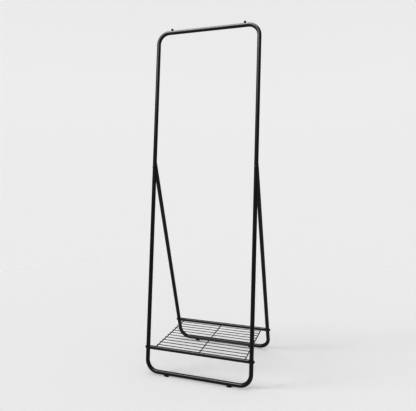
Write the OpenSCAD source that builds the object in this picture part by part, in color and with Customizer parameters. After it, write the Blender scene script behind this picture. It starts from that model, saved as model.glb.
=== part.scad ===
// Free-standing A-frame garment stand with one hanging rail and a wire shelf.
// Millimetres, +Z up, +Y to the back. The origin is on the floor, in the middle of the footprint.
// The front frame leans back and carries the rail. The rear frame leans forward and butts on the
// backs of the two posts. The shelf ties the two frames together near the floor.

/* [Overall size] */
// Height of the top of the hanging rail above the floor
rack_h = 1600; // [1500:10:1700]
// Distance between the centrelines of the left and right posts
frame_w = 488; // [440:4:560]
// Distance between the centrelines of the front and rear floor bars
base_depth = 424; // [380:4:460]
// Angle at which the front frame leans back
front_lean = 5.4; // [4.5:0.1:6.5]
// Height at which the centreline of a rear leg meets that of a post
apex_h = 978; // [940:2:1010]

/* [Tubes] */
// Outer diameter of the frame tube
tube_d = 18; // [17:0.5:19]
// Wall thickness of all tubes
tube_wall = 1.2; // [1:0.1:1.4]
// Centreline radius of the bends at the corners
bend_r = 52; // [44:1:60]
// Length of the straight part of the rail's legs, below its bends
rail_leg = 66; // [40:2:120]
// Distance from the apex up to the joint between an upper post and the base frame
lower_joint_rise = 24; // [16:1:34]
// Length of the reduced ends that plug the tubes together
neck_len = 75; // [65:1:90]

/* [Shelf] */
// Height of the centrelines of the two shelf bars
shelf_h = 120; // [100:2:150]
// Outer diameter of the shelf bars
bar_d = 16; // [15:0.5:17]
// Number of long wires
wire_count = 11; // [7:1:13]
// Distance between neighbouring long wires
wire_pitch = 30.6; // [24:0.2:30.6]
// Diameter of the long wires
wire_d = 3.2; // [2.5:0.1:3.5]
// Diameter of the cross wires
cross_wire_d = 4.4; // [3.5:0.1:4.5]
// Distance from the centre to each outer cross wire
cross_wire_x = 212; // [190:2:214]
// How far the centrelines of the cross wires lie below those of the bars
cross_wire_drop = 2.3; // [1.5:0.1:3]

/* [Fixings] */
// Diameter of the bolt shanks
bolt_d = 6; // [5.5:0.1:6]
// Diameter of the domed bolt heads
bolt_head_d = 12; // [11:0.5:13]
// Height of the domed bolt heads
bolt_head_h = 4; // [3.5:0.1:4.5]
// Thickness of a saddle washer over the crown of the tube
saddle_t = 1.2; // [1:0.1:1.6]
// Width across the flats of the nuts
nut_af = 10; // [9.5:0.1:10]
// Thickness of the nuts
nut_t = 5; // [4:0.1:5]
// Distance from the apex down to the bolt that joins a post and a rear leg
apex_bolt_drop = 25; // [24:0.5:26]

/* [Feet and hanger stops] */
// Distance from the centre to each foot
foot_x = 148; // [120:2:170]
// Gap between the floor and the floor bars
foot_gap = 5; // [4:0.1:6.5]
// Length of the feet along the floor bars
foot_len = 26; // [20:0.5:28]
// Width of the feet across the floor bars
foot_w = 15; // [14:0.5:17]
// Distance from the centre to each hanger stop
stop_x = 177; // [150:1:184]
// Diameter of the ball on a hanger stop
stop_ball_d = 10.6; // [8.5:0.1:11.5]

/* [Hidden] */
$fn = 64;

// Tube radii
tube_r = tube_d / 2;
tube_bore_r = tube_r - tube_wall;
bar_r = bar_d / 2;
bar_bore_r = bar_r - tube_wall;

// Front frame: its own Z runs up the posts from the centreline of the front floor bar
floor_bar_h = foot_gap + tube_r;
front_len = (rack_h - tube_r - floor_bar_h) / cos(front_lean);
apex_s = (apex_h - floor_bar_h) / cos(front_lean);
shelf_s = (shelf_h - floor_bar_h) / cos(front_lean);
rail_joint_s = front_len - bend_r - rail_leg;
lower_joint_s = apex_s + lower_joint_rise;
apex_bolt_s = apex_s - apex_bolt_drop;

// Rear frame: its own Z runs up the rear legs from the centreline of the rear floor bar
apex_y = (apex_h - floor_bar_h) * tan(front_lean) - base_depth / 2;
rear_lean = atan((base_depth / 2 - apex_y) / (apex_h - floor_bar_h));
rear_len = (apex_h - floor_bar_h) / cos(rear_lean);
rear_shelf_s = (shelf_h - floor_bar_h) / cos(rear_lean);
apex_angle = front_lean + rear_lean;

// Shelf
front_bar_y = (shelf_h - floor_bar_h) * tan(front_lean) - base_depth / 2;
rear_bar_y = base_depth / 2 - (shelf_h - floor_bar_h) * tan(rear_lean);
cross_wire_h = shelf_h - cross_wire_drop;
weld_sink = 0.3;
weld_bite = 0.05;
wire_h = cross_wire_h + cross_wire_d / 2 + wire_d / 2 - weld_sink;
wire_overhang = 4;
wire_len = 2 * (cross_wire_x + wire_overhang);

// Fits
slip = 0.1;
gap = 0.05;
bolt_hole_r = bolt_d / 2 + 0.2;
stem_gap = 0.1;

// End plugs stand this far off the crown of the post, and reach this deep into their tube
plug_collar = 2;
plug_inset = 0.25;
bar_plug_depth = 24;
leg_plug_depth = 62;
bar_nut_start = 5;
leg_nut_start = 0.5;
bolt_past_nut = 0.8;
bar_bolt_reach = plug_collar + bar_nut_start + nut_t + bolt_past_nut;
leg_bolt_reach = plug_collar + leg_nut_start + nut_t + bolt_past_nut;

// Bolts
head_rim = 0.8;
socket_af = 4;
socket_depth = 2.2;

// Hanger stops and feet
stop_neck_r = 3;
stop_skirt_r = 4.2;
stop_stem_r = 1.9;
stop_barb_r = 2.6;
foot_top_h = foot_gap + 3;
foot_taper = 1.5;
foot_stem_r = 2.9;
foot_barb_r = 3.4;
barb_len = 2.4;

// How far a cutting solid runs past the face that it cuts
past = 1;

coat = [0.11, 0.11, 0.12];
plastic = [0.07, 0.07, 0.08];
rubber = [0.05, 0.05, 0.05];
zinc = [0.62, 0.63, 0.65];

function two_digits(i) = i < 10 ? str("0", i) : str(i);
function slat_wire_name(i) = str("slat_wire_", two_digits(i));

// ---- Places ----

// Puts a shape drawn in the front frame's own plane into the stand
module in_front_frame() {
    translate([0, -base_depth / 2, floor_bar_h])
        rotate([-front_lean, 0, 0])
            children();
}

// Puts a shape drawn in the rear frame's own plane into the stand
module in_rear_frame() {
    translate([0, base_depth / 2, floor_bar_h])
        rotate([rear_lean, 0, 0])
            children();
}

// The apex of one side, with Z running down the rear leg
module down_rear_leg(side) {
    in_front_frame()
        translate([side * frame_w / 2, 0, apex_s])
            rotate([apex_angle - 180, 0, 0])
                children();
}

// The place of one corner of the shelf, with Z pointing outwards along the bar
module at_shelf_corner(side, y) {
    translate([side * frame_w / 2, y, shelf_h])
        rotate([0, side * 90, 0])
            children();
}

// The place of one apex bolt, with Z pointing out of the front of the post
module at_apex_bolt(side) {
    in_front_frame()
        translate([side * frame_w / 2, 0, apex_bolt_s])
            rotate([90, 0, 0])
                children();
}

// The place of the nut in one leg plug, with Z towards the bolt's head
module at_leg_nut(side) {
    at_apex_bolt(side)
        translate([0, 0, -tube_r - plug_collar - leg_nut_start - nut_t])
            children();
}

// The place of the nut in one bar plug, with Z towards the bolt's head
module at_bar_nut(side, y) {
    at_shelf_corner(side, y)
        translate([0, 0, -tube_r - plug_collar - bar_nut_start - nut_t])
            children();
}

// ---- Tubes ----

// A rod bent into a U in the XZ plane: a bar along X at z = 0, two bends, and legs up to leg_h
module bent_rod(r, leg_h) {
    straight = frame_w - 2 * bend_r;
    translate([-straight / 2, 0, 0])
        rotate([0, 90, 0])
            cylinder(r = r, h = straight);
    for (side = [0, 1]) {
        mirror([side, 0, 0]) {
            translate([straight / 2, 0, bend_r])
                rotate([90, 0, 0])
                    rotate([0, 0, -90])
                        rotate_extrude(angle = 90)
                            translate([bend_r, 0])
                                circle(r = r);
            translate([frame_w / 2, 0, bend_r])
                cylinder(r = r, h = leg_h - bend_r);
        }
    }
}

// The same U as a tube, open at the ends of its legs
module u_tube(leg_h) {
    difference() {
        bent_rod(tube_r, leg_h);
        bent_rod(tube_bore_r, leg_h + past);
    }
}

// Holes right through both legs of a U tube, along X, for the shelf bolts
module leg_cross_holes(s) {
    for (side = [-1, 1])
        translate([side * frame_w / 2 - tube_d, 0, s])
            rotate([0, 90, 0])
                cylinder(r = bolt_hole_r, h = 2 * tube_d);
}

// A block that holds the apex of both sides, as far back as this distance behind the posts
module post_side_of_mitre(behind) {
    front = -2 * tube_d;
    in_front_frame()
        translate([-frame_w, front, apex_s - 5 * tube_d])
            cube([2 * frame_w, tube_r + behind - front, 8 * tube_d]);
}

// Solid bodies of the posts, grown by a gap, to cut saddle faces with
module post_rods() {
    in_front_frame()
        for (side = [-1, 1])
            translate([side * frame_w / 2, 0, bend_r])
                cylinder(r = tube_r + gap, h = apex_s + bend_r);
}

// Solid bodies of the rear legs, grown by a gap, to cut saddle faces with
module rear_leg_rods() {
    in_rear_frame()
        for (side = [-1, 1])
            translate([side * frame_w / 2, 0, bend_r])
                cylinder(r = tube_r + gap, h = rear_len / 2);
}

// ---- Front frame ----

// The hanging rail with its two bends and short legs, drilled on top for the hanger stops
module top_rail() {
    color(coat)
        in_front_frame()
            difference() {
                translate([0, 0, front_len])
                    mirror([0, 0, 1])
                        u_tube(bend_r + rail_leg);
                for (side = [-1, 1])
                    translate([side * stop_x, 0, front_len])
                        cylinder(r = stop_stem_r + stem_gap, h = tube_d);
            }
}

// A straight post with a reduced neck at each end. The lower neck takes the apex bolt
module upper_post(side) {
    neck_r = tube_bore_r - slip;
    neck_bore_r = neck_r - tube_wall;
    cone = tube_r - neck_r;
    body = rail_joint_s - lower_joint_s;
    color(coat)
        in_front_frame()
            difference() {
                translate([side * frame_w / 2, 0, lower_joint_s])
                    rotate_extrude()
                        polygon([
                            [neck_bore_r, -neck_len],
                            [neck_r, -neck_len],
                            [neck_r, 0],
                            [tube_r, cone],
                            [tube_r, body - cone],
                            [neck_r, body],
                            [neck_r, body + neck_len / 2],
                            [neck_bore_r, body + neck_len / 2],
                            [neck_bore_r, body - cone],
                            [tube_bore_r, body - 2 * cone],
                            [tube_bore_r, 2 * cone],
                            [neck_bore_r, cone]
                        ]);
                translate([side * frame_w / 2, tube_d, apex_bolt_s])
                    rotate([90, 0, 0])
                        cylinder(r = bolt_hole_r, h = 2 * tube_d);
            }
}

module left_upper_post() {
    upper_post(-1);
}

module right_upper_post() {
    upper_post(1);
}

// Holes straight up through the underside of a floor bar for the stems of the feet
module foot_holes(y) {
    for (side = [-1, 1])
        translate([side * foot_x, y, 0])
            cylinder(r = foot_stem_r + stem_gap, h = floor_bar_h);
}

// The front floor bar with the lower halves of the posts, bent from one tube
module front_base_frame() {
    color(coat)
        difference() {
            in_front_frame()
                difference() {
                    u_tube(lower_joint_s);
                    leg_cross_holes(shelf_s);
                    for (side = [-1, 1])
                        translate([side * frame_w / 2, tube_d, apex_bolt_s])
                            rotate([90, 0, 0])
                                cylinder(r = bolt_hole_r, h = 2 * tube_d);
                }
            foot_holes(-base_depth / 2);
        }
}

// ---- Rear frame ----

// The rear floor bar with both rear legs, whose tops are mitred to lie along the posts
module rear_frame() {
    color(coat)
        difference() {
            in_rear_frame()
                difference() {
                    u_tube(rear_len + tube_d);
                    leg_cross_holes(rear_shelf_s);
                }
            post_side_of_mitre(plug_collar);
            foot_holes(base_depth / 2);
        }
}

// A moulded plug in the mitred end of a rear leg, with a collar that cups the back of the post.
// The apex bolt enters it from the post and ends in a nut that is moulded in
module leg_plug(side) {
    color(plastic)
        difference() {
            union() {
                intersection() {
                    down_rear_leg(side)
                        cylinder(r = tube_r - plug_inset, h = leg_plug_depth);
                    post_side_of_mitre(plug_collar - gap);
                }
                down_rear_leg(side)
                    cylinder(r = tube_bore_r - slip, h = leg_plug_depth);
            }
            post_rods();
            at_apex_bolt(side)
                translate([0, 0, -tube_r - leg_bolt_reach - gap])
                    cylinder(r = bolt_hole_r, h = tube_d);
            at_leg_nut(side)
                nut_pocket();
        }
}

module left_leg_plug() {
    leg_plug(-1);
}

module right_leg_plug() {
    leg_plug(1);
}

// ---- Nuts, bolts and washers ----

// A hexagonal prism with flats across local Y, grown all round when it is a pocket
module nut_prism(grow) {
    cylinder(d = (nut_af + 2 * grow) / cos(30), h = nut_t + 2 * grow, $fn = 6);
}

// The pocket for a nut, a gap larger all round
module nut_pocket() {
    translate([0, 0, -gap])
        nut_prism(gap);
}

// A nut's hexagon with the bolt's hole through it
module nut() {
    difference() {
        nut_prism(0);
        translate([0, 0, -past])
            cylinder(r = bolt_d / 2 + gap, h = nut_t + 2 * past);
    }
}

module leg_plug_nuts() {
    color(zinc)
        for (side = [-1, 1])
            at_leg_nut(side)
                nut();
}

// A domed bolt whose head sits on z = 0, with a hexagonal socket and a shank along -Z
module bolt(shank) {
    dome_h = bolt_head_h - head_rim;
    dome_r = (dome_h * dome_h + bolt_head_d * bolt_head_d / 4) / (2 * dome_h);
    difference() {
        union() {
            intersection() {
                cylinder(d = bolt_head_d, h = bolt_head_h);
                translate([0, 0, bolt_head_h - dome_r])
                    sphere(r = dome_r);
            }
            translate([0, 0, -shank])
                cylinder(d = bolt_d, h = shank + head_rim / 2);
        }
        translate([0, 0, bolt_head_h - socket_depth])
            cylinder(d = socket_af / cos(30), h = bolt_head_h, $fn = 6);
    }
}

module shelf_bolts() {
    color(coat)
        for (side = [-1, 1], y = [front_bar_y, rear_bar_y])
            at_shelf_corner(side, y)
                translate([0, 0, tube_r + saddle_t])
                    bolt(tube_d + saddle_t + bar_bolt_reach);
}

module apex_bolts() {
    color(coat)
        for (side = [-1, 1])
            at_apex_bolt(side)
                translate([0, 0, tube_r + saddle_t])
                    bolt(tube_d + saddle_t + leg_bolt_reach);
}

// A washer before its cupped face is cut, with the tube's crown at z = tube_r
module washer_blank() {
    foot = tube_r / 2;
    translate([0, 0, foot])
        difference() {
            cylinder(d = bolt_head_d + 1, h = tube_r - foot + saddle_t - gap);
            translate([0, 0, -past])
                cylinder(r = bolt_hole_r, h = tube_d);
        }
}

// Washers that seat the flat bolt heads on the round tubes
module saddle_washers() {
    color(plastic) {
        difference() {
            for (side = [-1, 1])
                at_shelf_corner(side, front_bar_y)
                    washer_blank();
            post_rods();
        }
        difference() {
            for (side = [-1, 1])
                at_shelf_corner(side, rear_bar_y)
                    washer_blank();
            rear_leg_rods();
        }
        difference() {
            for (side = [-1, 1])
                at_apex_bolt(side)
                    washer_blank();
            post_rods();
        }
    }
}

// ---- Shelf ----

// A straight tube across the stand, stopping short of the posts by the plugs' collars
module shelf_bar(y) {
    bar_len = frame_w - 2 * (tube_r + plug_collar);
    color(coat)
        translate([-bar_len / 2, y, shelf_h])
            rotate([0, 90, 0])
                difference() {
                    cylinder(r = bar_r, h = bar_len);
                    translate([0, 0, -past])
                        cylinder(r = bar_bore_r, h = bar_len + 2 * past);
                }
}

module front_shelf_bar() {
    shelf_bar(front_bar_y);
}

module rear_shelf_bar() {
    shelf_bar(rear_bar_y);
}

// A moulded plug in the end of a shelf bar, with a collar that cups the tube it meets
module bar_plug(side, y) {
    collar_end = -tube_r - plug_collar;
    color(plastic)
        difference() {
            at_shelf_corner(side, y)
                union() {
                    translate([0, 0, collar_end + gap])
                        cylinder(r = bar_r - plug_inset, h = tube_r + plug_collar - gap);
                    translate([0, 0, collar_end - bar_plug_depth])
                        cylinder(r = bar_bore_r - slip, h = bar_plug_depth + past);
                }
            post_rods();
            rear_leg_rods();
            at_shelf_corner(side, y)
                translate([0, 0, -tube_r - bar_bolt_reach - gap])
                    cylinder(r = bolt_hole_r, h = tube_d + bar_bolt_reach);
            at_bar_nut(side, y)
                nut_pocket();
        }
}

module front_left_bar_plug() {
    bar_plug(-1, front_bar_y);
}

module front_right_bar_plug() {
    bar_plug(1, front_bar_y);
}

module rear_left_bar_plug() {
    bar_plug(-1, rear_bar_y);
}

module rear_right_bar_plug() {
    bar_plug(1, rear_bar_y);
}

module shelf_bar_nuts() {
    color(zinc)
        for (side = [-1, 1], y = [front_bar_y, rear_bar_y])
            at_bar_nut(side, y)
                nut();
}

// A wire from the front bar to the rear bar, its ends shaped to the bars and welded to them
module cross_wire(x) {
    color(coat)
        difference() {
            translate([x, front_bar_y, cross_wire_h])
                rotate([-90, 0, 0])
                    cylinder(d = cross_wire_d, h = rear_bar_y - front_bar_y);
            for (y = [front_bar_y, rear_bar_y])
                translate([x - bar_d, y, shelf_h])
                    rotate([0, 90, 0])
                        cylinder(r = bar_r - weld_bite, h = 2 * bar_d);
        }
}

module left_cross_wire() {
    cross_wire(-cross_wire_x);
}

module centre_cross_wire() {
    cross_wire(0);
}

module right_cross_wire() {
    cross_wire(cross_wire_x);
}

// One long wire, counted from the front, welded on top of the cross wires
module slat_wire(i) {
    y = (front_bar_y + rear_bar_y) / 2 + (i - (wire_count + 1) / 2) * wire_pitch;
    color(coat)
        translate([-wire_len / 2, y, wire_h])
            rotate([0, 90, 0])
                cylinder(d = wire_d, h = wire_len);
}

// ---- Hanger stops and feet ----

// A ball on a short neck, with a skirt that cups the rail and a barbed stem pushed through it
module hanger_stop(side) {
    ball_h = tube_r + stop_ball_d / 2;
    skirt_top = tube_r + 1;
    color(plastic)
        in_front_frame()
            translate([side * stop_x, 0, front_len]) {
                difference() {
                    union() {
                        translate([0, 0, ball_h])
                            sphere(d = stop_ball_d);
                        translate([0, 0, tube_r / 2])
                            cylinder(r = stop_neck_r, h = ball_h - tube_r / 2);
                        translate([0, 0, tube_r / 2])
                            cylinder(r = stop_skirt_r, h = skirt_top - tube_r / 2);
                    }
                    translate([-tube_d, 0, 0])
                        rotate([0, 90, 0])
                            cylinder(r = tube_r + gap, h = 2 * tube_d);
                }
                translate([0, 0, tube_bore_r - barb_len])
                    cylinder(r = stop_stem_r, h = skirt_top - tube_bore_r + barb_len);
                translate([0, 0, tube_bore_r - 2 * barb_len])
                    cylinder(r1 = stop_stem_r / 2, r2 = stop_barb_r, h = barb_len);
            }
}

module left_hanger_stop() {
    hanger_stop(-1);
}

module right_hanger_stop() {
    hanger_stop(1);
}

// An oblong pad along X with round ends, standing on the floor and wider at its top
module foot_pad() {
    end_x = (foot_len - foot_w) / 2;
    low_w = foot_w - 2 * foot_taper;
    for (end = [-1, 1])
        translate([end * end_x, 0, 0])
            cylinder(d1 = low_w, d2 = foot_w, h = foot_top_h);
    translate([-end_x, 0, 0])
        rotate([90, 0, 90])
            linear_extrude(2 * end_x)
                polygon([
                    [-low_w / 2, 0],
                    [low_w / 2, 0],
                    [foot_w / 2, foot_top_h],
                    [-foot_w / 2, foot_top_h]
                ]);
}

// A pad that cups the underside of a floor bar, with a barbed stem pushed into it
module foot(side, y) {
    inner_wall_h = floor_bar_h - tube_bore_r;
    barb_start = inner_wall_h + 1;
    color(rubber)
        translate([side * foot_x, y, 0]) {
            difference() {
                foot_pad();
                translate([-foot_len, 0, floor_bar_h])
                    rotate([0, 90, 0])
                        cylinder(r = tube_r + gap, h = 2 * foot_len);
            }
            translate([0, 0, foot_gap / 2])
                cylinder(r = foot_stem_r, h = barb_start - foot_gap / 2);
            translate([0, 0, barb_start])
                cylinder(r1 = foot_barb_r, r2 = foot_stem_r / 2, h = barb_len);
        }
}

module front_left_foot() {
    foot(-1, -base_depth / 2);
}

module front_right_foot() {
    foot(1, -base_depth / 2);
}

module rear_left_foot() {
    foot(-1, base_depth / 2);
}

module rear_right_foot() {
    foot(1, base_depth / 2);
}

top_rail();
left_upper_post();
right_upper_post();
front_base_frame();
rear_frame();
front_shelf_bar();
rear_shelf_bar();
left_cross_wire();
centre_cross_wire();
right_cross_wire();
for (i = [1 : wire_count])
    slat_wire(i);
front_left_bar_plug();
front_right_bar_plug();
rear_left_bar_plug();
rear_right_bar_plug();
shelf_bar_nuts();
shelf_bolts();
left_leg_plug();
right_leg_plug();
leg_plug_nuts();
apex_bolts();
saddle_washers();
left_hanger_stop();
right_hanger_stop();
front_left_foot();
front_right_foot();
rear_left_foot();
rear_right_foot();
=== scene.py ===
"""Looks of the A-frame garment stand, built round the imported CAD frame. Metres, +Z up, +Y to the back."""

import math
import random

import bmesh
import bpy
from mathutils import Matrix, Vector


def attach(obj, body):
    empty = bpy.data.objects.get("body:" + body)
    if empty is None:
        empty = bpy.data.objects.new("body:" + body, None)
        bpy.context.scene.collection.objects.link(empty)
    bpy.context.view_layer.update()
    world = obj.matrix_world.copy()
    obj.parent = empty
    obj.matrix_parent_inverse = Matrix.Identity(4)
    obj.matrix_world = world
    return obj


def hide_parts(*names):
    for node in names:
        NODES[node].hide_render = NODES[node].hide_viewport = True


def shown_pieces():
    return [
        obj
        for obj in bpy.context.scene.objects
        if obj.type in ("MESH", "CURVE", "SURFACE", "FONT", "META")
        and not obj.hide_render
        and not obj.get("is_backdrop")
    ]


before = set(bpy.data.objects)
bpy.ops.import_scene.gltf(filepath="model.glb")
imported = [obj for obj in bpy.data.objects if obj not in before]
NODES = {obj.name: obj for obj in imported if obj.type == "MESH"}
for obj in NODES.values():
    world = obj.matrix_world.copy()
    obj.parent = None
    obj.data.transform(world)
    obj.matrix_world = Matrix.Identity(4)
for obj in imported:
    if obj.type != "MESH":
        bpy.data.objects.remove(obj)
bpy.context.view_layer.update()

# ---- Design sizes, as in the CAD source ----

RACK_H = 1.6
HALF_W = 0.244
HALF_DEPTH = 0.212
FRONT_LEAN = math.radians(5.4)
APEX_H = 0.978
TUBE_R = 0.009
BAR_R = 0.008
SHELF_H = 0.120
WIRE_R = 0.0016
CROSS_R = 0.0022
CROSS_X = 0.212
CROSS_H = SHELF_H - 0.0023
SLAT_H = CROSS_H + CROSS_R + WIRE_R - 0.0003
SLAT_HALF = CROSS_X + 0.004
SLAT_COUNT = 11
SLAT_PITCH = 0.0306
FOOT_X = 0.148
FOOT_GAP = 0.005
FOOT_W = 0.015
FOOT_LEN = 0.026
FOOT_TAPER = 0.0015
FOOT_TOP = FOOT_GAP + 0.003
FOOT_STEM_R = 0.0029
FOOT_BARB_R = 0.0034
FOOT_BARB_H = 0.0072
STOP_X = 0.177
STOP_BALL_R = 0.0053
STOP_SKIRT_R = 0.0042
STOP_SKIRT_H = 0.001
STOP_STEM_R = 0.0019
STOP_STEM_END = TUBE_R - 0.0036
BOLT_R = 0.003
BOLT_POINT = 0.0006
HEAD_R = 0.006
HEAD_H = 0.004
HEAD_RIM = 0.0008
SOCKET_HALF = 0.002
SOCKET_DEPTH = 0.0022
SOCKET_POINT = 0.0006
SADDLE_T = 0.0012
APEX_BOLT_DROP = 0.025
SHELF_SHANK = 0.032
APEX_SHANK = 0.0275
GAP = 0.00005

FLOOR_BAR_H = FOOT_GAP + TUBE_R
FRONT_LEN = (RACK_H - TUBE_R - FLOOR_BAR_H) / math.cos(FRONT_LEAN)
APEX_Y = (APEX_H - FLOOR_BAR_H) * math.tan(FRONT_LEAN) - HALF_DEPTH
REAR_LEAN = math.atan((HALF_DEPTH - APEX_Y) / (APEX_H - FLOOR_BAR_H))
FRONT_BAR_Y = (SHELF_H - FLOOR_BAR_H) * math.tan(FRONT_LEAN) - HALF_DEPTH
REAR_BAR_Y = HALF_DEPTH - (SHELF_H - FLOOR_BAR_H) * math.tan(REAR_LEAN)
APEX_BOLT_S = (APEX_H - FLOOR_BAR_H) / math.cos(FRONT_LEAN) - APEX_BOLT_DROP
SHELF_Y = (FRONT_BAR_Y + REAR_BAR_Y) / 2
SLAT_Y = [SHELF_Y + (i - (SLAT_COUNT - 1) / 2) * SLAT_PITCH for i in range(SLAT_COUNT)]

rng = random.Random(7)

# ---- Camera ----

CAMERA_PLACE = (0.6268, -1.944, 0.9554)
CAMERA_TILT = -2.456
CAMERA_TURN = 18.376
CAMERA_LENS = 36.56
CAMERA_SHIFT = -0.05


def add_camera():
    data = bpy.data.cameras.new("camera")
    data.sensor_fit = "HORIZONTAL"
    data.sensor_width = 36
    data.lens = CAMERA_LENS
    data.shift_y = CAMERA_SHIFT
    cam = bpy.data.objects.new("camera", data)
    bpy.context.scene.collection.objects.link(cam)
    cam.location = CAMERA_PLACE
    cam.rotation_euler = (math.radians(90 + CAMERA_TILT), 0, math.radians(CAMERA_TURN))
    bpy.context.scene.camera = cam


# ---- Materials ----

COAT_DARK = (0.005, 0.005, 0.0053)
COAT_LIGHT = (0.008, 0.008, 0.0083)


class Nodes:
    """Makes and links the shader nodes of one material."""

    def __init__(self, name):
        self.material = bpy.data.materials.new(name)
        self.material.use_nodes = True
        self.tree = self.material.node_tree
        self.shader = self.tree.nodes["Principled BSDF"]
        self.place = self.add("ShaderNodeTexCoord").outputs["Object"]

    def add(self, kind, **settings):
        node = self.tree.nodes.new(kind)
        for key, value in settings.items():
            setattr(node, key, value)
        return node

    def link(self, source, target):
        self.tree.links.new(source, target)

    def noise(self, scale, detail=2, roughness=0.5):
        node = self.add("ShaderNodeTexNoise")
        node.inputs["Scale"].default_value = scale
        node.inputs["Detail"].default_value = detail
        node.inputs["Roughness"].default_value = roughness
        self.link(self.place, node.inputs["Vector"])
        return node.outputs["Fac"]

    def cells(self, scale):
        node = self.add("ShaderNodeTexVoronoi")
        node.inputs["Scale"].default_value = scale
        self.link(self.place, node.inputs["Vector"])
        return node.outputs["Distance"]

    def spread(self, value, low, high, start=0.3, end=0.7):
        """Maps the range from start to end onto the range from low to high."""
        node = self.add("ShaderNodeMapRange")
        node.inputs["From Min"].default_value = start
        node.inputs["From Max"].default_value = end
        node.inputs["To Min"].default_value = low
        node.inputs["To Max"].default_value = high
        self.link(value, node.inputs["Value"])
        return node.outputs["Result"]

    def ramp(self, value, start, end):
        """A blend between two colours, each given as (position, colour)."""
        node = self.add("ShaderNodeValToRGB")
        for element, (position, colour) in zip(node.color_ramp.elements, (start, end)):
            element.position = position
            element.color = (*colour, 1)
        self.link(value, node.inputs["Fac"])
        return node.outputs["Color"]

    def math(self, operation, a, b):
        node = self.add("ShaderNodeMath", operation=operation)
        for socket, value in zip(node.inputs, (a, b)):
            if isinstance(value, (int, float)):
                socket.default_value = value
            else:
                self.link(value, socket)
        return node.outputs["Value"]

    def bump(self, *layers):
        """Stacks bumps, each a (height, distance in metres, strength)."""
        normal = None
        for height, distance, strength in layers:
            node = self.add("ShaderNodeBump")
            node.inputs["Distance"].default_value = distance
            node.inputs["Strength"].default_value = strength
            self.link(height, node.inputs["Height"])
            if normal:
                self.link(normal, node.inputs["Normal"])
            normal = node.outputs["Normal"]
        self.link(normal, self.shader.inputs["Normal"])

    def mix(self, a, b, share):
        """A blend of two values, with this share of the first."""
        first = self.math("MULTIPLY", a, share)
        second = self.math("MULTIPLY", b, 1 - share)
        return self.math("ADD", first, second)

    def finish(self, colour, roughness, **constants):
        self.link(colour, self.shader.inputs["Base Color"])
        self.link(roughness, self.shader.inputs["Roughness"])
        for name, value in constants.items():
            self.shader.inputs[name.replace("_", " ")].default_value = value
        return self.material


def powder_coat(name, peel_scale, rough_low, rough_high):
    """A satin black powder coat: orange peel, a finer grain and faint cloudiness."""
    m = Nodes(name)
    cloud = m.noise(9, 3)
    grain = m.noise(2600, 2)
    peel = m.noise(peel_scale, 1)
    colour = m.ramp(m.mix(cloud, grain, 0.6), (0.35, COAT_DARK), (0.65, COAT_LIGHT))
    rough = m.spread(m.mix(cloud, grain, 0.5), rough_low, rough_high)
    m.bump((peel, 0.00004, 0.7), (grain, 0.000012, 0.6))
    return m.finish(colour, rough, Specular_IOR_Level=0.5)


def moulded_plastic(name):
    """Black moulded plastic with a fine spark-eroded texture."""
    m = Nodes(name)
    fine = m.cells(3200)
    cloud = m.noise(30, 2)
    colour = m.ramp(cloud, (0.3, (0.005, 0.005, 0.0053)), (0.7, (0.009, 0.009, 0.0094)))
    m.bump((fine, 0.000015, 0.6))
    return m.finish(colour, m.spread(fine, 0.55, 0.72, 0, 0.6), Specular_IOR_Level=0.15)


def foot_rubber(name):
    """Matt black rubber, slightly dusty in its pores."""
    m = Nodes(name)
    pores = m.noise(1400, 3, 0.6)
    cloud = m.noise(60, 2)
    colour = m.ramp(m.mix(cloud, pores, 0.7), (0.35, (0.008, 0.008, 0.008)), (0.7, (0.016, 0.016, 0.0155)))
    m.bump((pores, 0.00003, 0.7))
    return m.finish(colour, m.spread(pores, 0.7, 0.85), Specular_IOR_Level=0.3)


def black_fastener(name):
    """Black oxide steel with faint turning marks."""
    m = Nodes(name)
    marks = m.noise(700, 2)
    grain = m.noise(3000, 2)
    colour = m.ramp(grain, (0.3, (0.006, 0.006, 0.0065)), (0.7, (0.011, 0.011, 0.0115)))
    m.bump((marks, 0.00001, 0.5), (grain, 0.000006, 0.5))
    return m.finish(colour, m.spread(marks, 0.38, 0.5), Specular_IOR_Level=0.3)


def zinc_steel(name):
    """Bright zinc-plated steel with soft spangle."""
    m = Nodes(name)
    spangle = m.cells(900)
    grain = m.noise(2400, 2)
    colour = m.ramp(spangle, (0.0, (0.50, 0.52, 0.55)), (0.6, (0.62, 0.63, 0.64)))
    m.bump((grain, 0.000008, 0.5))
    return m.finish(colour, m.spread(grain, 0.26, 0.4), Metallic=1.0)


def make_materials():
    return {
        "powder_coat": powder_coat("powder_coat_look", 620, 0.27, 0.35),
        "wire_coat": powder_coat("wire_coat_look", 900, 0.30, 0.40),
        "black_plastic": moulded_plastic("black_plastic_look"),
        "foot_rubber": foot_rubber("foot_rubber_look"),
        "black_fastener": black_fastener("black_fastener_look"),
        "zinc_steel": zinc_steel("zinc_steel_look"),
    }


def dress_cad_nodes():
    for node in NODES.values():
        for slot in node.material_slots:
            for name, material in MATERIALS.items():
                if slot.material and slot.material.name.startswith(name):
                    slot.material = material
                    break


# ---- Mesh tools ----


def smooth_object(name, mesh, material):
    """Turns a bmesh into a smooth-shaded object."""
    data = bpy.data.meshes.new(name)
    bmesh.ops.recalc_face_normals(mesh, faces=mesh.faces)
    mesh.to_mesh(data)
    mesh.free()
    data.materials.append(material)
    data.shade_smooth()
    made = bpy.data.objects.new(name, data)
    bpy.context.scene.collection.objects.link(made)
    return made


def new_piece(name, mesh, slot, *cad_nodes):
    """Turns a bmesh into a piece that rides on the stand, in place of these CAD nodes if any."""
    bmesh.ops.remove_doubles(mesh, verts=mesh.verts, dist=1e-7)
    piece = smooth_object(name, mesh, MATERIALS[slot])
    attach(piece, "root")
    if cad_nodes:
        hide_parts(*cad_nodes)


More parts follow.
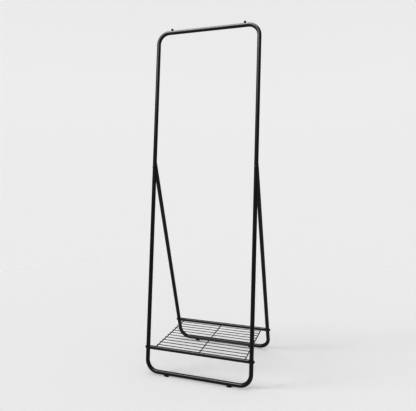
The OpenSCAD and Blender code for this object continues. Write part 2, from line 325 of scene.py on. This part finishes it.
def stack(mesh, rings, place, open_start=False, open_end=False):
    """Skins a list of rings, each a list of local points, and closes the ends that aren't left open."""
    made = [[mesh.verts.new(place @ Vector(p)) for p in ring] for ring in rings]
    for a, b in zip(made, made[1:]):
        count = max(len(a), len(b))
        for i in range(count):
            j = (i + 1) % count
            if len(a) == 1:
                mesh.faces.new((a[0], b[i], b[j]))
            elif len(b) == 1:
                mesh.faces.new((a[i], a[j], b[0]))
            else:
                mesh.faces.new((a[i], a[j], b[j], b[i]))
    if not open_start and len(made[0]) > 2:
        mesh.faces.new(made[0])
    if not open_end and len(made[-1]) > 2:
        mesh.faces.new(made[-1])


def arc(centre_r, centre_z, radius, start, end, steps):
    """Profile points (r, z) on an arc, with angles in degrees from +r."""
    points = []
    for i in range(steps + 1):
        a = math.radians(start + (end - start) * i / steps)
        points.append((centre_r + radius * math.cos(a), centre_z + radius * math.sin(a)))
    return points


def circle(radius, z, segments=48):
    angles = [2 * math.pi * i / segments for i in range(segments)]
    return [(radius * math.cos(a), radius * math.sin(a), z) for a in angles]


def turned(profile, segments=48):
    """Rings of points from a profile of (r, z)."""
    return [[(0, 0, z)] if r < 1e-7 else circle(r, z, segments) for r, z in profile]


def hexagon(half_flats, z, segments=48):
    """A ring of points on a hexagon's outline."""
    points = []
    for i in range(segments):
        a = 2 * math.pi * i / segments
        r = half_flats / math.cos((a + math.pi / 6) % (math.pi / 3) - math.pi / 6)
        points.append((r * math.cos(a), r * math.sin(a), z))
    return points


def cupped(ring, lift=0):
    """Lays a ring on a tube along local X whose axis is at z = 0."""
    return [(x, y, math.sqrt((TUBE_R + GAP) ** 2 - y * y) + lift) for x, y, _ in ring]


def oblong(half_len, half_w, z, steps=12):
    """A ring with straight sides along X and round ends."""
    points = []
    for end in (1, -1):
        for i in range(steps + 1):
            a = math.radians(-90 * end + 180 * i / steps)
            x = end * (half_len - half_w) + half_w * math.cos(a)
            points.append((x, half_w * math.sin(a), z))
    return points


def in_front_frame(x, along):
    """The place on the front frame at this height along it, with Z up the posts."""
    return (
        Matrix.Translation((0, -HALF_DEPTH, FLOOR_BAR_H))
        @ Matrix.Rotation(-FRONT_LEAN, 4, "X")
        @ Matrix.Translation((x, 0, along))
    )


# ---- Fixings ----


def shelf_corner(side, front):
    """The place where a shelf bolt crosses a tube, with Z outwards and the tube along local X."""
    y, lean = (FRONT_BAR_Y, -FRONT_LEAN) if front else (REAR_BAR_Y, REAR_LEAN)
    return (
        Matrix.Translation((side * HALF_W, y, SHELF_H))
        @ Matrix.Rotation(lean, 4, "X")
        @ Matrix.Rotation(side * math.pi / 2, 4, "Y")
    )


def apex_place(side):
    """The place where an apex bolt crosses a post, with Z to the front and the post along local X."""
    return (
        in_front_frame(side * HALF_W, APEX_BOLT_S)
        @ Matrix.Rotation(math.pi / 2, 4, "X")
        @ Matrix.Rotation(math.pi / 2, 4, "Z")
    )


SHELF_CORNERS = [shelf_corner(side, front) for side in (-1, 1) for front in (True, False)]
APEX_PLACES = [apex_place(side) for side in (-1, 1)]


def button_bolt(mesh, place, shank):
    """A domed bolt with a chamfered hexagonal socket, a rounded rim and a shank with a blunt point."""
    dome_h = HEAD_H - HEAD_RIM
    dome_r = (dome_h**2 + HEAD_R**2) / (2 * dome_h)
    dome_z = HEAD_H - dome_r
    chamfer_r = SOCKET_HALF / math.cos(math.pi / 6) + 0.0002
    edge_r = 0.0003
    lip = math.degrees(math.acos(chamfer_r / dome_r))
    edge = math.degrees(math.acos((HEAD_R - edge_r - 0.00005) / dome_r))
    floor_z = HEAD_H - SOCKET_DEPTH
    rings = [[(0, 0, floor_z - SOCKET_POINT)], hexagon(SOCKET_HALF * 0.97, floor_z)]
    rings.append(hexagon(SOCKET_HALF, floor_z + 0.0001))
    rings += [hexagon(SOCKET_HALF, HEAD_H - 0.0009), hexagon(SOCKET_HALF * 1.01, HEAD_H - 0.0007)]
    rings += turned(arc(0, dome_z, dome_r, lip, edge, 10))
    rings += turned(arc(HEAD_R - edge_r, HEAD_RIM - 0.00015, edge_r, 50, 0, 4))
    rings += turned(arc(HEAD_R - edge_r, edge_r, edge_r, 0, -90, 4))
    rings += turned([(BOLT_R + edge_r, 0), (BOLT_R, -edge_r)])
    rings += turned([(BOLT_R, BOLT_POINT - shank), (BOLT_R - BOLT_POINT, -shank), (0, -shank)])
    stack(mesh, rings, place @ Matrix.Translation((0, 0, TUBE_R + SADDLE_T)))


def saddle_washer(mesh, place):
    """A washer with rounded rims whose underside is cupped to the tube."""
    outer, hole, top = HEAD_R + 0.0005, BOLT_R + 0.0002, TUBE_R + SADDLE_T - GAP
    rim = 0.0004
    rings = [cupped(circle(r, 0)) for r in (hole, (hole + outer) / 2, outer - 0.0002)]
    rings += [cupped(circle(outer - 0.00005, 0), 0.00008), cupped(circle(outer, 0), 0.0002)]
    rings += turned(arc(outer - rim, top - rim, rim, 0, 90, 5))
    rings += [circle(hole + 0.0002, top), circle(hole, top - 0.0002), cupped(circle(hole, 0))]
    stack(mesh, rings, place, open_start=True, open_end=True)


def add_fixings():
    mesh = bmesh.new()
    for place in SHELF_CORNERS:
        button_bolt(mesh, place, SHELF_SHANK)
    new_piece("shelf_bolts_detail", mesh, "black_fastener", "shelf_bolts")
    mesh = bmesh.new()
    for place in APEX_PLACES:
        button_bolt(mesh, place, APEX_SHANK)
    new_piece("apex_bolts_detail", mesh, "black_fastener", "apex_bolts")
    mesh = bmesh.new()
    for place in SHELF_CORNERS + APEX_PLACES:
        saddle_washer(mesh, place)
    new_piece("saddle_washers_detail", mesh, "black_plastic", "saddle_washers")


# ---- Hanger stops and feet ----


def add_hanger_stop(name, x):
    """A moulded ball that flows into a skirt cupped to the rail, with its stem below."""
    ball_z = TUBE_R + STOP_BALL_R
    skirt_z = TUBE_R + STOP_SKIRT_H
    edge_r = 0.0003
    rings = turned([(0, STOP_STEM_END), (STOP_STEM_R, STOP_STEM_END), (STOP_STEM_R, TUBE_R - 0.001)])
    rings += [cupped(circle(0.0028, 0)), cupped(circle(STOP_SKIRT_R - 0.0002, 0))]
    rings.append(cupped(circle(STOP_SKIRT_R, 0), 0.0002))
    rings += turned(arc(STOP_SKIRT_R - edge_r, skirt_z - edge_r, edge_r, 0, 90, 4))
    hollow = [(STOP_SKIRT_R - 0.0005, skirt_z + 0.00003), (STOP_SKIRT_R - 0.00065, skirt_z + 0.00015)]
    rings += turned(hollow)
    rings += turned(arc(0, ball_z, STOP_BALL_R, -50, 90, 20))
    mesh = bmesh.new()
    stack(mesh, rings, in_front_frame(x, FRONT_LEN))
    new_piece(name + "_detail", mesh, "black_plastic", name)


def add_foot(name, x, y):
    """An oblong rubber glide with soft edges, wider at its top, cupped to the floor bar."""

    def outline(z, inset):
        half_w = FOOT_W / 2 - FOOT_TAPER * (1 - z / FOOT_TOP) - inset
        return oblong(half_w + (FOOT_LEN - FOOT_W) / 2, half_w, z)

    def cup(inset):
        ring = cupped(outline(FOOT_TOP, inset))
        return [(px, py, min(FOOT_TOP, FLOOR_BAR_H - pz)) for px, py, pz in ring]

    sole_edge = ((0, 0.0007), (0.0001, 0.0003), (0.0003, 0.0001), (0.0007, 0))
    top_edge = ((0.00025, 0.00008), (0.00006, 0.00025), (0, 0.0005))
    rings = [outline(z, inset) for z, inset in sole_edge]
    rings += [outline(FOOT_TOP * share, 0) for share in (0.3, 0.5, 0.7, 0.92)]
    rings += [outline(FOOT_TOP - drop, inset) for drop, inset in top_edge]
    rings += [cup(0.00073 + 0.0011 * step) for step in range(6)]
    mesh = bmesh.new()
    stack(mesh, rings, Matrix.Translation((x, y, 0)))
    stem = [(0, 0.003), (FOOT_STEM_R, 0.003), (FOOT_STEM_R, FOOT_BARB_H)]
    barb = [(FOOT_BARB_R, FOOT_BARB_H), (FOOT_STEM_R, 0.0086), (0.0016, 0.0096), (0, 0.0096)]
    stack(mesh, turned(stem + barb, 32), Matrix.Translation((x, y, 0)))
    new_piece(name + "_detail", mesh, "foot_rubber", name)


def add_ends():
    for side, hand in ((-1, "left"), (1, "right")):
        add_hanger_stop(hand + "_hanger_stop", side * STOP_X)
        add_foot("front_" + hand + "_foot", side * FOOT_X, -HALF_DEPTH)
        add_foot("rear_" + hand + "_foot", side * FOOT_X, HALF_DEPTH)


# ---- Shelf ----


def add_slat_wire(index, y):
    """A long wire whose cut ends are rounded over by the coat."""
    soft = 0.0004
    profile = [(0, -SLAT_HALF)] + arc(WIRE_R - soft, soft - SLAT_HALF, soft, -90, 0, 4)
    profile += arc(WIRE_R - soft, SLAT_HALF - soft, soft, 0, 90, 4) + [(0, SLAT_HALF)]
    place = Matrix.Translation((0, y, SLAT_H)) @ Matrix.Rotation(math.pi / 2, 4, "Y")
    mesh = bmesh.new()
    stack(mesh, turned(profile, 24), place)
    name = "slat_wire_%02d" % (index + 1)
    new_piece(name + "_detail", mesh, "wire_coat", name)


def weld_nugget(mesh, x, y):
    """The metal squeezed out where two wires are resistance welded."""
    size = (rng.uniform(0.0022, 0.0026), rng.uniform(0.0025, 0.0029), rng.uniform(0.0008, 0.001))
    place = Matrix.Translation((x, y, CROSS_H + CROSS_R - 0.0001)) @ Matrix.Diagonal((*size, 1))
    stack(mesh, turned(arc(0, 0, 1, -90, 90, 12), 20), place)


def weld_bead(mesh, x, bar_y, inward):
    """The fillet round the end of a cross wire, where it meets a shelf bar."""
    width = 0.0011
    flare = 1.6
    waves = 3

    def bar_face(dz):
        """How far a point just inside the bar's face lies from the bar's axis."""
        return math.sqrt(BAR_R**2 - (CROSS_H - SHELF_H + dz) ** 2) - 0.0001

    rings = []
    for step in range(7):
        t = step / 6
        r = CROSS_R + width * (1 - t) ** flare - 0.00003 * t
        ring = []
        for dx, dz, _ in circle(r, 0, 28):
            wobble = 1 + 0.12 * math.sin(waves * math.atan2(dz, dx) + x * 50)
            ring.append((dx, inward * (bar_face(dz) + width * wobble * t**flare * 1.3), dz))
        rings.append(ring)
    rings.append([(dx, inward * bar_face(dz), dz) for dx, dz, _ in circle(CROSS_R * 0.7, 0, 28)])
    rings.append(rings[0])
    stack(mesh, rings, Matrix.Translation((x, bar_y, CROSS_H)), open_start=True, open_end=True)


def add_shelf_details():
    for i, y in enumerate(SLAT_Y):
        add_slat_wire(i, y)
    for x, hand in ((-CROSS_X, "left"), (0, "centre"), (CROSS_X, "right")):
        mesh = bmesh.new()
        for y in SLAT_Y:
            weld_nugget(mesh, x, y)
        for bar_y, inward in ((FRONT_BAR_Y, 1), (REAR_BAR_Y, -1)):
            weld_bead(mesh, x, bar_y, inward)
        new_piece(hand + "_cross_wire_welds", mesh, "wire_coat")


# ---- Stage and light ----

# The paper's own brightness, and its glow on the flat floor and high up the wall
PAPER = 0.3
PAPER_GLOW = 0.345
WALL_GLOW = 0.668
FLOOR_R = 2.6
CURVE_R = 2.0
WALL_H = 4.5

# Lights on the paper: place, apparent width in degrees, strength
OVERHEAD = ((0.3, -0.3, 4.0), 60, 2.0)
LEFT = ((-2.5, -1.4, 0.6), 20, 7.2)

# Lights on the stand: place, aim, size, radiance
KEY_SOFTBOX = ((-0.85, -1.35, 2.75), (0, -0.05, 1.3), 2.2, 6.5)
OVERHEAD_SOFTBOX = ((-0.2, -0.65, 3.2), (0, -0.1, 0), 2.2, 7.5)

# Brightness of the surroundings, from straight down (0) to straight up (1)
AIR = ((0.0, 0.2), (0.2, 0.85), (0.45, 0.25), (1.0, 0.4))


def sun_on_floor(light):
    """How much a paper light adds to the brightness of the flat floor."""
    place, _, strength = light
    return PAPER / math.pi * strength * place[2] / Vector(place).length


def paper(name, glow):
    """Matt paper with a fine grain that also glows a little: even, or as (low, high) up the wall."""
    m = Nodes(name)
    grain = m.noise(900, 2)
    colour = m.ramp(grain, (0.3, (PAPER - 0.01,) * 3), (0.7, (PAPER + 0.01,) * 3))
    m.finish(colour, m.spread(grain, 0.9, 0.95), Specular_IOR_Level=0.0)
    m.shader.inputs["Emission Color"].default_value = (1, 1, 1, 1)
    if isinstance(glow, tuple):
        height = m.add("ShaderNodeSeparateXYZ")
        m.link(m.place, height.inputs["Vector"])
        m.link(m.spread(height.outputs["Z"], *glow, 0.0, CURVE_R), m.shader.inputs["Emission Strength"])
    else:
        m.shader.inputs["Emission Strength"].default_value = glow
    return m.material


def stage_piece(name, profile, material, **ends):
    """A round part of the backdrop, which the stand's gloss doesn't show."""
    mesh = bmesh.new()
    stack(mesh, turned(profile, 128), Matrix.Identity(4), **ends)
    piece = smooth_object(name, mesh, material)
    piece.visible_glossy = False
    piece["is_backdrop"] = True
    return piece


def add_stage():
    """A round seamless sweep: a flat floor, and a wall that curves up out of it all round.
    The paper lights reach the floor alone, so the wall starts with as much glow as they add there."""
    disc = [(0, 0), (0.6, 0), (1.2, 0), (2.0, 0), (FLOOR_R, 0)]
    floor = stage_piece("studio_floor", disc, paper("floor_paper", PAPER_GLOW), open_end=True)
    foot_glow = PAPER_GLOW + sun_on_floor(OVERHEAD) + sun_on_floor(LEFT)
    wall_r = FLOOR_R + CURVE_R
    curve = arc(FLOOR_R, CURVE_R, CURVE_R, -90, 0, 24) + [(wall_r, 3.0), (wall_r, WALL_H)]
    wall_paper = paper("wall_paper", (foot_glow, WALL_GLOW))
    stage_piece("studio_wall", curve, wall_paper, open_start=True, open_end=True)
    return floor


def link_light(lamp, place, aim):
    """Puts a lamp in the scene, aimed at a point and hidden from the camera."""
    bpy.context.scene.collection.objects.link(lamp)
    lamp.location = place
    lamp.rotation_euler = (Vector(aim) - Vector(place)).to_track_quat("-Z", "Y").to_euler()
    lamp.visible_camera = False


def add_softbox(name, place, aim, size, radiance, lit):
    """A round softbox that lights the stand alone."""
    data = bpy.data.lights.new(name, "AREA")
    data.shape = "DISK"
    data.size = size
    data.energy = radiance * math.pi * math.pi * size * size / 4
    lamp = bpy.data.objects.new(name, data)
    link_light(lamp, place, aim)
    lamp.light_linking.receiver_collection = lit


def add_paper_light(name, place, angle, strength, lit, blockers):
    """Even light on the paper from one side, with soft shadows of the stand."""
    data = bpy.data.lights.new(name, "SUN")
    data.angle = math.radians(angle)
    data.energy = strength
    lamp = bpy.data.objects.new(name, data)
    link_light(lamp, place, (0, 0, 0))
    lamp.light_linking.receiver_collection = lit
    lamp.light_linking.blocker_collection = blockers


def add_air():
    """Dim studio surroundings for the gloss: brightest low down, where the paper is."""
    world = bpy.data.worlds.new("studio_air")
    world.use_nodes = True
    nodes, links = world.node_tree.nodes, world.node_tree.links
    split = nodes.new("ShaderNodeSeparateXYZ")
    links.new(nodes.new("ShaderNodeTexCoord").outputs["Generated"], split.inputs["Vector"])
    lift = nodes.new("ShaderNodeMapRange")
    lift.inputs["From Min"].default_value = -1
    links.new(split.outputs["Z"], lift.inputs["Value"])
    ramp = nodes.new("ShaderNodeValToRGB")
    elements = ramp.color_ramp.elements
    for position, _ in AIR[1:-1]:
        elements.new(position)
    for element, (_, value) in zip(elements, AIR):
        element.color = (value, value, value, 1)
    links.new(lift.outputs["Result"], ramp.inputs["Fac"])
    links.new(ramp.outputs["Color"], nodes["Background"].inputs["Color"])
    bpy.context.scene.world = world


def add_lights(floor):
    stand = bpy.data.collections.new("stand_alone")
    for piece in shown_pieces():
        stand.objects.link(piece)
    flat = bpy.data.collections.new("floor_alone")
    flat.objects.link(floor)
    add_softbox("key_softbox", *KEY_SOFTBOX, stand)
    add_softbox("overhead_softbox", *OVERHEAD_SOFTBOX, stand)
    add_paper_light("overhead_paper_light", *OVERHEAD, flat, stand)
    add_paper_light("left_paper_light", *LEFT, flat, stand)
    add_air()
    view = bpy.context.scene.view_settings
    view.view_transform = "Standard"
    view.gamma = 0.75


# ---- Run ----

MATERIALS = make_materials()
add_camera()
dress_cad_nodes()
add_fixings()
add_ends()
add_shelf_details()
add_lights(add_stage())
